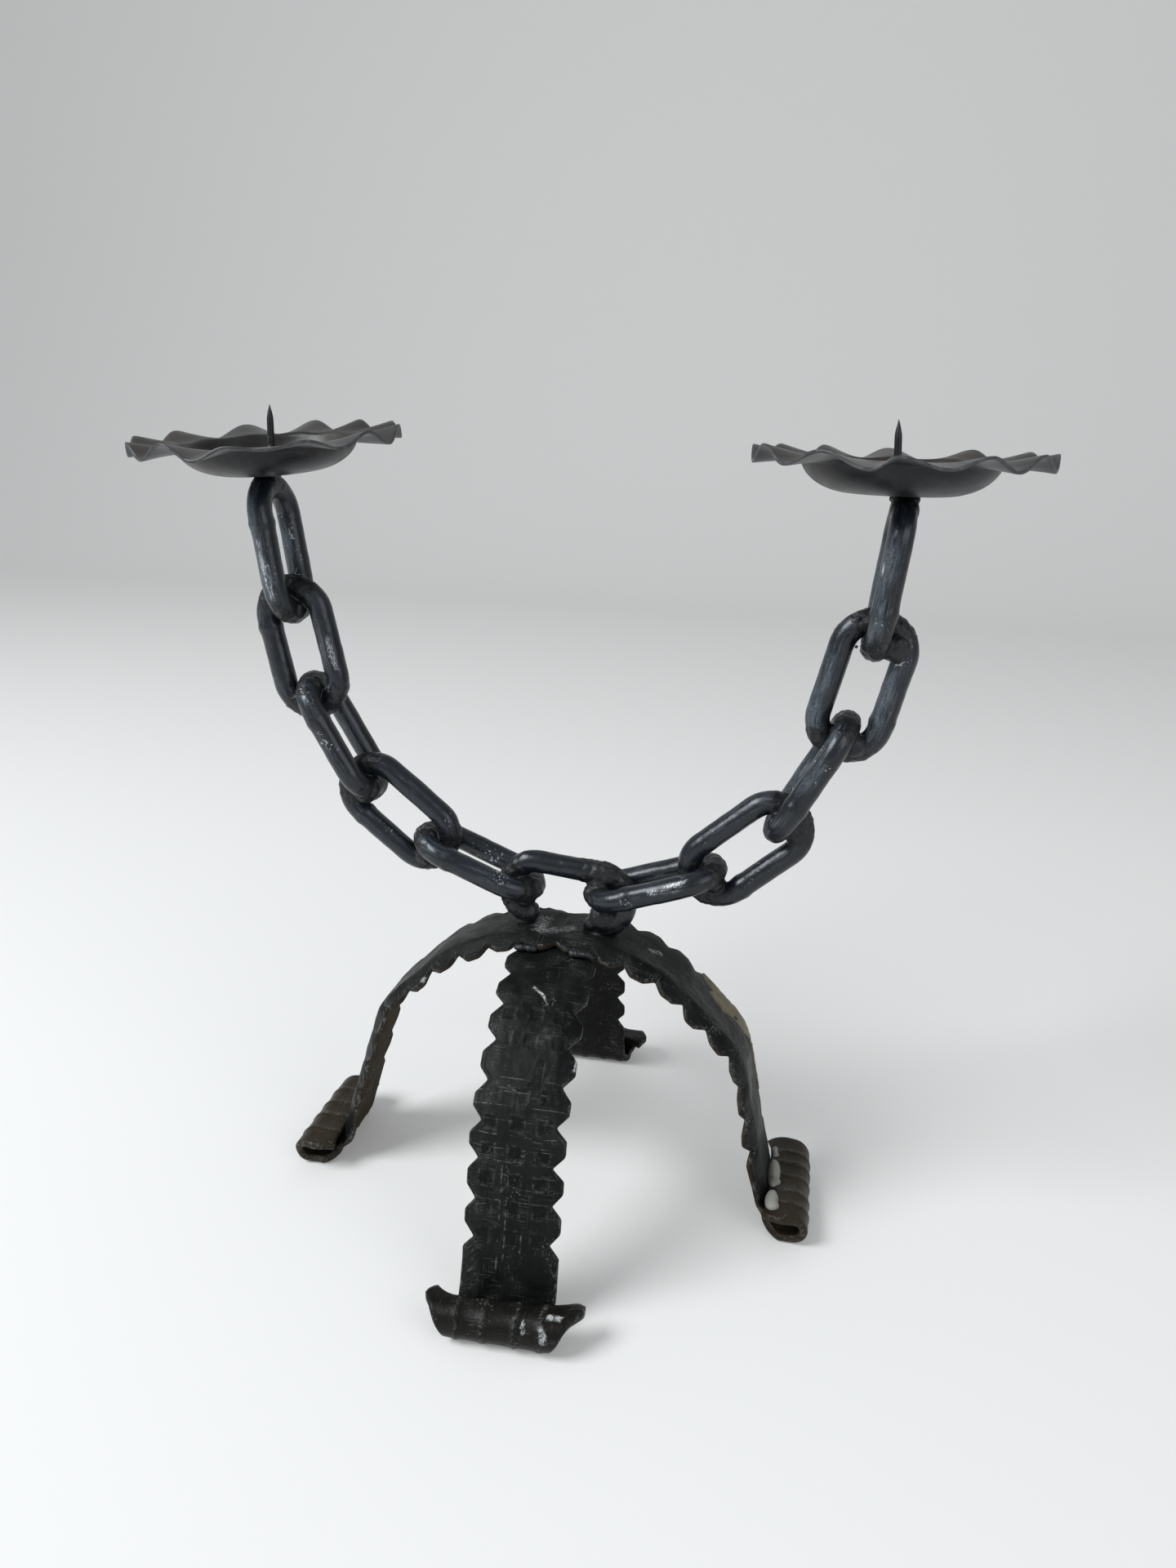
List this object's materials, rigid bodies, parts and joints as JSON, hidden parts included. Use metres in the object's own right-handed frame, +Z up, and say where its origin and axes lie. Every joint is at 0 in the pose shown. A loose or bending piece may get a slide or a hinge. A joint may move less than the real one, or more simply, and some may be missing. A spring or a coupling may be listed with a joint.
{
  "type": "two-light candle holder",
  "caption": "Free-standing two-light candelabrum: a welded U of heavy chain links with wavy drip pans and spikes on a crossed, notched flat-bar base.",
  "frame": {"origin": "on the table, under the middle of the whole object", "axes": "+X along the chain to the right light, +Y to the back, +Z up"},
  "size_m": [0.2974, 0.192, 0.2834],
  "materials": {
    "painted_chain": "black paint, satin, with silvery worn highlights",
    "pan_sheet": "dark oiled sheet, semi-matte, worn at the rim",
    "base_bar": "hammered black iron, waxed, dusty and scratched",
    "weld": "painted weld metal, rough"
  },
  "bodies": {
    "root": {"chain_link_01": "painted_chain", "chain_link_02": "painted_chain", "chain_link_03": "painted_chain", "chain_link_04": "painted_chain", "chain_link_05": "painted_chain", "chain_link_06": "painted_chain", "chain_link_07": "painted_chain", "chain_link_08": "painted_chain", "chain_link_09": "painted_chain", "chain_link_10": "painted_chain", "chain_link_11": "painted_chain", "base_bar_upper": "base_bar", "base_bar_lower": "base_bar", "drip_pan_left": "pan_sheet", "drip_pan_right": "pan_sheet", "spike_left": "pan_sheet", "spike_right": "pan_sheet", "weld_links_01": "weld", "weld_links_02": "weld", "weld_links_03": "weld", "weld_links_04": "weld", "weld_links_05": "weld", "weld_links_06": "weld", "weld_links_07": "weld", "weld_links_08": "weld", "weld_links_09": "weld", "weld_links_10": "weld", "weld_seat_left": "weld", "weld_seat_right": "weld", "weld_crossing_front_left": "weld", "weld_crossing_front_right": "weld", "weld_crossing_back_left": "weld", "weld_crossing_back_right": "weld", "weld_pan_left": "weld", "weld_pan_right": "weld"}
  },
  "joints": []
}
